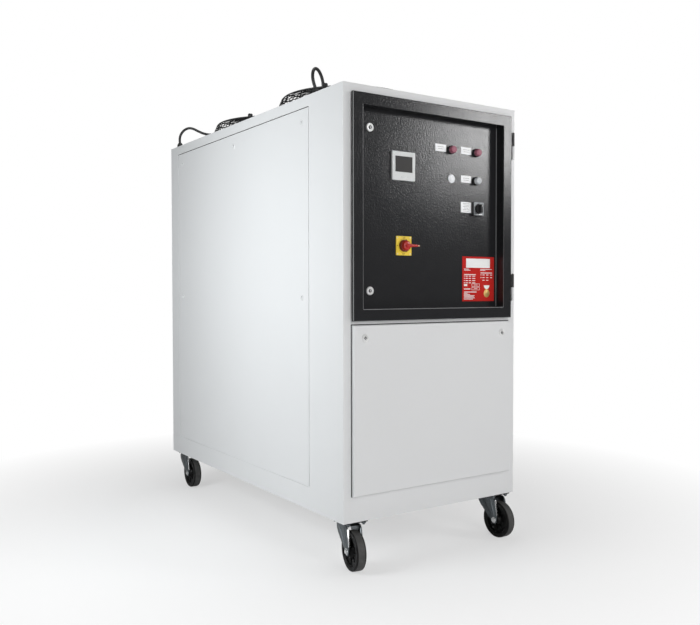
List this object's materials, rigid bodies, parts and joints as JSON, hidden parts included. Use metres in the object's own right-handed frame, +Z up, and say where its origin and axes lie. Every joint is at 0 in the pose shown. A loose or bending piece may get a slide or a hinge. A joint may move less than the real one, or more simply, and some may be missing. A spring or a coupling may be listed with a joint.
{
  "type": "mobile water chiller",
  "caption": "Upright sheet-metal water chiller cabinet on swivel castors, with a hinged instrument door, roof fans under wire guards, side panels and a louvred air intake.",
  "frame": {"origin": "on the floor, under the middle of the part's box, which is the middle of the cabinet", "axes": "+Z up, -Y towards the instrument door, +X to the right as seen from the front"},
  "size_m": [0.753, 1.551, 1.667],
  "materials": {
    "cabinet_paint": "light grey powder coat, satin",
    "dark_paint": "anthracite powder coat, fine texture",
    "galvanised": "zinc-plated sheet steel",
    "black_metal": "black paint, semi-gloss",
    "rotor_plastic": "moulded, matt",
    "coil": "finned coil",
    "bright_metal": "bright nickel",
    "bezel_plastic": "satin, light grey",
    "screen": "glossy, dark",
    "yellow_plastic": "satin",
    "red_plastic": "satin",
    "black_plastic": "moulded, satin",
    "silver_plate": "satin",
    "lens_red": "red, translucent",
    "lens_clear": "clear, ribbed",
    "white_plastic": "satin",
    "label": "engraved plate, pale grey",
    "red_label": "printed plate, deep red",
    "device_plastic": "moulded, light grey",
    "brass_fitting": "machined",
    "lead_rubber": "satin sheath",
    "zinc": "zinc-plated pressing",
    "tyre": "solid rubber, matt"
  },
  "bodies": {
    "cabinet": {"base_frame": "cabinet_paint", "left_side_wall": "cabinet_paint", "right_side_wall": "cabinet_paint", "left_side_panel": "cabinet_paint", "right_side_panel": "cabinet_paint", "panel_fasteners": "bright_metal", "condenser_rails": "galvanised", "front_wall": "cabinet_paint", "rear_wall": "cabinet_paint", "roof": "cabinet_paint", "control_box": "galvanised", "mounting_plate": "galvanised", "switchgear": "device_plastic", "frame_hinge_leaves": "zinc", "lower_front_panel": "cabinet_paint", "rear_panel": "cabinet_paint", "intake_grille": "cabinet_paint", "water_ports": "brass_fitting", "condenser": "coil", "fan_rings": "black_metal", "fan_motors": "black_metal", "fan_guards": "black_metal", "cable_glands": "black_plastic", "fan_lead_front": "lead_rubber", "fan_lead_rear": "lead_rubber", "castor_plates": "zinc"},
    "door": {"door_rim": "dark_paint", "door_panel": "dark_paint", "door_locks": "bright_metal", "display_housing": "bezel_plastic", "display_screen": "screen", "main_switch_plate": "yellow_plastic", "main_switch_body": "black_plastic", "selector_base": "black_plastic", "selector_plate": "silver_plate", "lamp_bezels": "bright_metal", "red_lamp_lenses": "lens_red", "clear_lamp_lens": "lens_clear", "blanking_plug": "white_plastic", "label_plates": "label", "information_plate": "red_label", "door_hinge_leaves": "black_metal"},
    "main_switch": {"main_switch_handle": "red_plastic"},
    "selector": {"selector_knob": "black_plastic"},
    "fan_front": {"fan_rotor_front": "rotor_plastic"},
    "fan_rear": {"fan_rotor_rear": "rotor_plastic"},
    "castor_front_left": {"castor_fork_front_left": "zinc"},
    "wheel_front_left": {"castor_wheel_front_left": "tyre"},
    "castor_front_right": {"castor_fork_front_right": "zinc"},
    "wheel_front_right": {"castor_wheel_front_right": "tyre"},
    "castor_rear_left": {"castor_fork_rear_left": "zinc"},
    "wheel_rear_left": {"castor_wheel_rear_left": "tyre"},
    "castor_rear_right": {"castor_fork_rear_right": "zinc"},
    "wheel_rear_right": {"castor_wheel_rear_right": "tyre"}
  },
  "joints": [
    {"name": "door_hinge", "type": "hinge", "parent": "cabinet", "child": "door", "pos_m": [0.36, -0.733, 1.175], "axis": [0, 0, 1], "range_deg": [0, 120]},
    {"name": "main_switch_turn", "type": "hinge", "parent": "door", "child": "main_switch", "pos_m": [-0.1175, -0.715, 1.0535], "axis": [0, -1, 0], "range_deg": [0, 90]},
    {"name": "selector_turn", "type": "hinge", "parent": "door", "child": "selector", "pos_m": [0.211, -0.715, 1.194], "axis": [0, -1, 0], "range_deg": [-45, 45]},
    {"name": "fan_front_spin", "type": "hinge", "parent": "cabinet", "child": "fan_front", "pos_m": [0, -0.184, 1.56], "axis": [0, 0, 1], "continuous": true},
    {"name": "fan_rear_spin", "type": "hinge", "parent": "cabinet", "child": "fan_rear", "pos_m": [0, 0.42, 1.56], "axis": [0, 0, 1], "continuous": true},
    {"name": "castor_front_left_swivel", "type": "hinge", "parent": "cabinet", "child": "castor_front_left", "pos_m": [-0.318, -0.672, 0.15], "axis": [0, 0, 1], "continuous": true},
    {"name": "castor_front_left_roll", "type": "hinge", "parent": "castor_front_left", "child": "wheel_front_left", "pos_m": [-0.3246, -0.70942, 0.065], "axis": [0.9848, -0.1736, 0], "continuous": true},
    {"name": "castor_front_right_swivel", "type": "hinge", "parent": "cabinet", "child": "castor_front_right", "pos_m": [0.318, -0.672, 0.15], "axis": [0, 0, 1], "continuous": true},
    {"name": "castor_front_right_roll", "type": "hinge", "parent": "castor_front_right", "child": "wheel_front_right", "pos_m": [0.318, -0.71, 0.065], "axis": [1, 0, 0], "continuous": true},
    {"name": "castor_rear_left_swivel", "type": "hinge", "parent": "cabinet", "child": "castor_rear_left", "pos_m": [-0.318, 0.672, 0.15], "axis": [0, 0, 1], "continuous": true},
    {"name": "castor_rear_left_roll", "type": "hinge", "parent": "castor_rear_left", "child": "wheel_rear_left", "pos_m": [-0.318, 0.634, 0.065], "axis": [1, 0, 0], "continuous": true},
    {"name": "castor_rear_right_swivel", "type": "hinge", "parent": "cabinet", "child": "castor_rear_right", "pos_m": [0.318, 0.672, 0.15], "axis": [0, 0, 1], "continuous": true},
    {"name": "castor_rear_right_roll", "type": "hinge", "parent": "castor_rear_right", "child": "wheel_rear_right", "pos_m": [0.3246, 0.70942, 0.065], "axis": [-0.9848, 0.1736, 0], "continuous": true}
  ]
}
